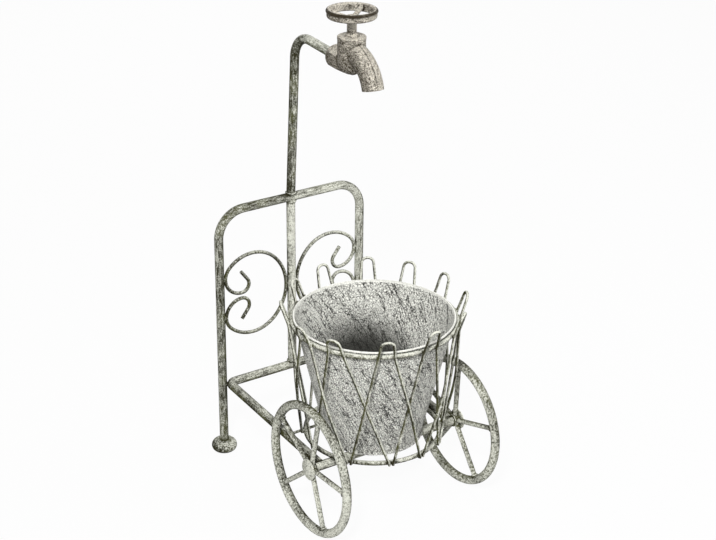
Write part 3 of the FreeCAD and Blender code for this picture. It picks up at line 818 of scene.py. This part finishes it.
class STOOL_OT_basket_beads(bpy.types.Operator):
    """Weld the hairpins to both rings"""

    bl_idname = "stool.basket_beads"
    bl_label = "Basket beads"

    def execute(self, context):
        spot = model_spot_bead()
        beads = []
        for ring in RINGS:
            points = circle_points(ring)
            for hairpin in HAIRPINS:
                add_spots(beads, spot, nearest_to(hairpin, points, WELD.reach), UP, WELD.wire_size)
        if len(beads) < len(RINGS) * len(HAIRPINS):
            raise RuntimeError("the hairpins don't reach the rings")
        join_beads(beads, [spot])
        material = whitewashed_steel("whitewashed_basket_beads", cover=0.48)
        keep_piece("basket_beads", "frame", material)
        return {"FINISHED"}


class STOOL_OT_frame_beads(bpy.types.Operator):
    """Weld the hoop, post, standpipe, scrolls, rail and axle tube together"""

    bl_idname = "stool.frame_beads"
    bl_label = "Frame beads"

    def execute(self, context):
        hoop_low, hoop_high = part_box("back_hoop")
        axle_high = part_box("axle_tube")[1]
        tube_r = (hoop_high.y - hoop_low.y) / 2
        hoop_y = centre_of("back_hoop").y
        pipe_y = hoop_y - tube_r * WELD.pipe_setback
        rail_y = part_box("base_rail")[1].y - tube_r
        bar_z = hoop_high.z - tube_r
        rail_z = centre_of("base_rail").z
        post_foot_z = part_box("lower_post")[0].z + tube_r * WELD.foot_rise
        end_x = axle_high.x - tube_r * WELD.axle_inset
        end_y = centre_of("axle_tube").y + tube_r * WELD.axle_setback
        end_z = axle_high.z - tube_r * WELD.axle_sink
        spot = model_spot_bead()
        fillet = model_fillet_bead(tube_r)
        beads = [
            bead_copy(fillet, Vector((0, hoop_y, bar_z - tube_r)), UP),
            bead_copy(fillet, Vector((0, pipe_y, bar_z + tube_r)), UP, turn_deg=WELD.pipe_turn_deg),
            bead_copy(fillet, Vector((0, rail_y, post_foot_z)), UP, turn_deg=WELD.foot_turn_deg),
        ]
        for side, scroll in zip((-1, 1), SCROLLS):
            leg_x = side * (hoop_high.x - tube_r)
            for x in (leg_x - side * tube_r, side * tube_r):
                touches = nearest_to(scroll, upright_points(x, hoop_y, rail_z, bar_z), WELD.reach)
                add_spots(beads, spot, touches, UP, WELD.scroll_size)
            corner = upright_points(leg_x, hoop_y, rail_z - tube_r, rail_z + 2 * tube_r)
            touches = nearest_to("base_rail", corner, tube_r + WELD.reach)
            add_spots(beads, spot, touches, UP, WELD.corner_size)
            add_spots(beads, spot, [Vector((side * end_x, end_y, end_z))], RIGHTWARD, WELD.axle_size)
        join_beads(beads, [spot, fillet])
        material = whitewashed_steel("whitewashed_frame_beads", cover=0.45)
        keep_piece("frame_beads", "frame", material)
        return {"FINISHED"}


class STOOL_OT_wheel_beads(bpy.types.Operator):
    """Weld each wheel's spokes to its rim"""

    bl_idname = "stool.wheel_beads"
    bl_label = "Wheel beads"

    def execute(self, context):
        material = whitewashed_steel("whitewashed_wheel_beads", cover=0.48)
        for side in ("left", "right"):
            hub = centre_of(side + "_hub")
            rim = centre_of(side + "_rim")
            rim_low, rim_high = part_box(side + "_rim")
            inner_r = (rim_high.z - rim_low.z) / 2 - (rim_high.x - rim_low.x)
            fillet = model_fillet_bead(WELD.spoke_r)
            beads = []
            for number in SPOKES:
                out = centre_of("%s_spoke_%d" % (side, number)) - hub
                out.x = 0
                out.normalize()
                turn_deg = WELD.spoke_turn_deg * number
                beads.append(bead_copy(fillet, rim + out * inner_r, out, turn_deg=turn_deg))
            join_beads(beads, [fillet])
            keep_piece(side + "_wheel_beads", side + "_wheel", material)
        return {"FINISHED"}


class STOOL_OT_stage(bpy.types.Operator):
    """Set the floor, lamps, background and camera"""

    bl_idname = "stool.stage"
    bl_label = "Stage"

    def execute(self, context):
        studio = context.scene.stool_studio
        target = studio.lamp_target
        set_floor(studio)
        set_world(studio)
        add_lamp("key_lamp", studio.key_place, target, studio.key_size, studio.key_power)
        add_lamp("fill_lamp", studio.fill_place, target, studio.soft_size, studio.fill_power)
        add_lamp("back_lamp", studio.back_place, target, studio.soft_size, studio.back_power)
        add_camera(studio)
        context.scene.view_settings.view_transform = "Standard"
        return {"FINISHED"}


class STOOL_PT_panel(bpy.types.Panel):
    """Sidebar list of the stool's steps and settings"""

    bl_idname = "STOOL_PT_panel"
    bl_label = "Plant stool"
    bl_space_type = "VIEW_3D"
    bl_region_type = "UI"
    bl_category = "Plant stool"

    def draw(self, context):
        for operator in OPERATORS:
            self.layout.operator(operator.bl_idname)
        for group in SETTINGS.values():
            settings = getattr(context.scene, group)
            for name in settings.bl_rna.properties.keys():
                if name not in ("rna_type", "name"):
                    self.layout.prop(settings, name)


OPERATORS = (
    STOOL_OT_frame_finish,
    STOOL_OT_basket_finish,
    STOOL_OT_wheel_finish,
    STOOL_OT_tap_finish,
    STOOL_OT_pot_finish,
    STOOL_OT_basket_beads,
    STOOL_OT_frame_beads,
    STOOL_OT_wheel_beads,
    STOOL_OT_stage,
)
SETTINGS = {StoolFinishes: "stool_finishes", StoolWelds: "stool_welds", StoolStudio: "stool_studio"}


def register():
    for group, name in SETTINGS.items():
        bpy.utils.register_class(group)
        setattr(bpy.types.Scene, name, bpy.props.PointerProperty(type=group))
    for operator in OPERATORS:
        bpy.utils.register_class(operator)
    bpy.utils.register_class(STOOL_PT_panel)


def unregister():
    bpy.utils.unregister_class(STOOL_PT_panel)
    for operator in reversed(OPERATORS):
        bpy.utils.unregister_class(operator)
    for group, name in SETTINGS.items():
        delattr(bpy.types.Scene, name)
        bpy.utils.unregister_class(group)


def main():
    register()
    bpy.ops.stool.frame_finish()
    bpy.ops.stool.basket_finish()
    bpy.ops.stool.wheel_finish()
    bpy.ops.stool.tap_finish()
    bpy.ops.stool.pot_finish()
    bpy.ops.stool.basket_beads()
    bpy.ops.stool.frame_beads()
    bpy.ops.stool.wheel_beads()
    bpy.ops.stool.stage()


if __name__ == "__main__":
    main()
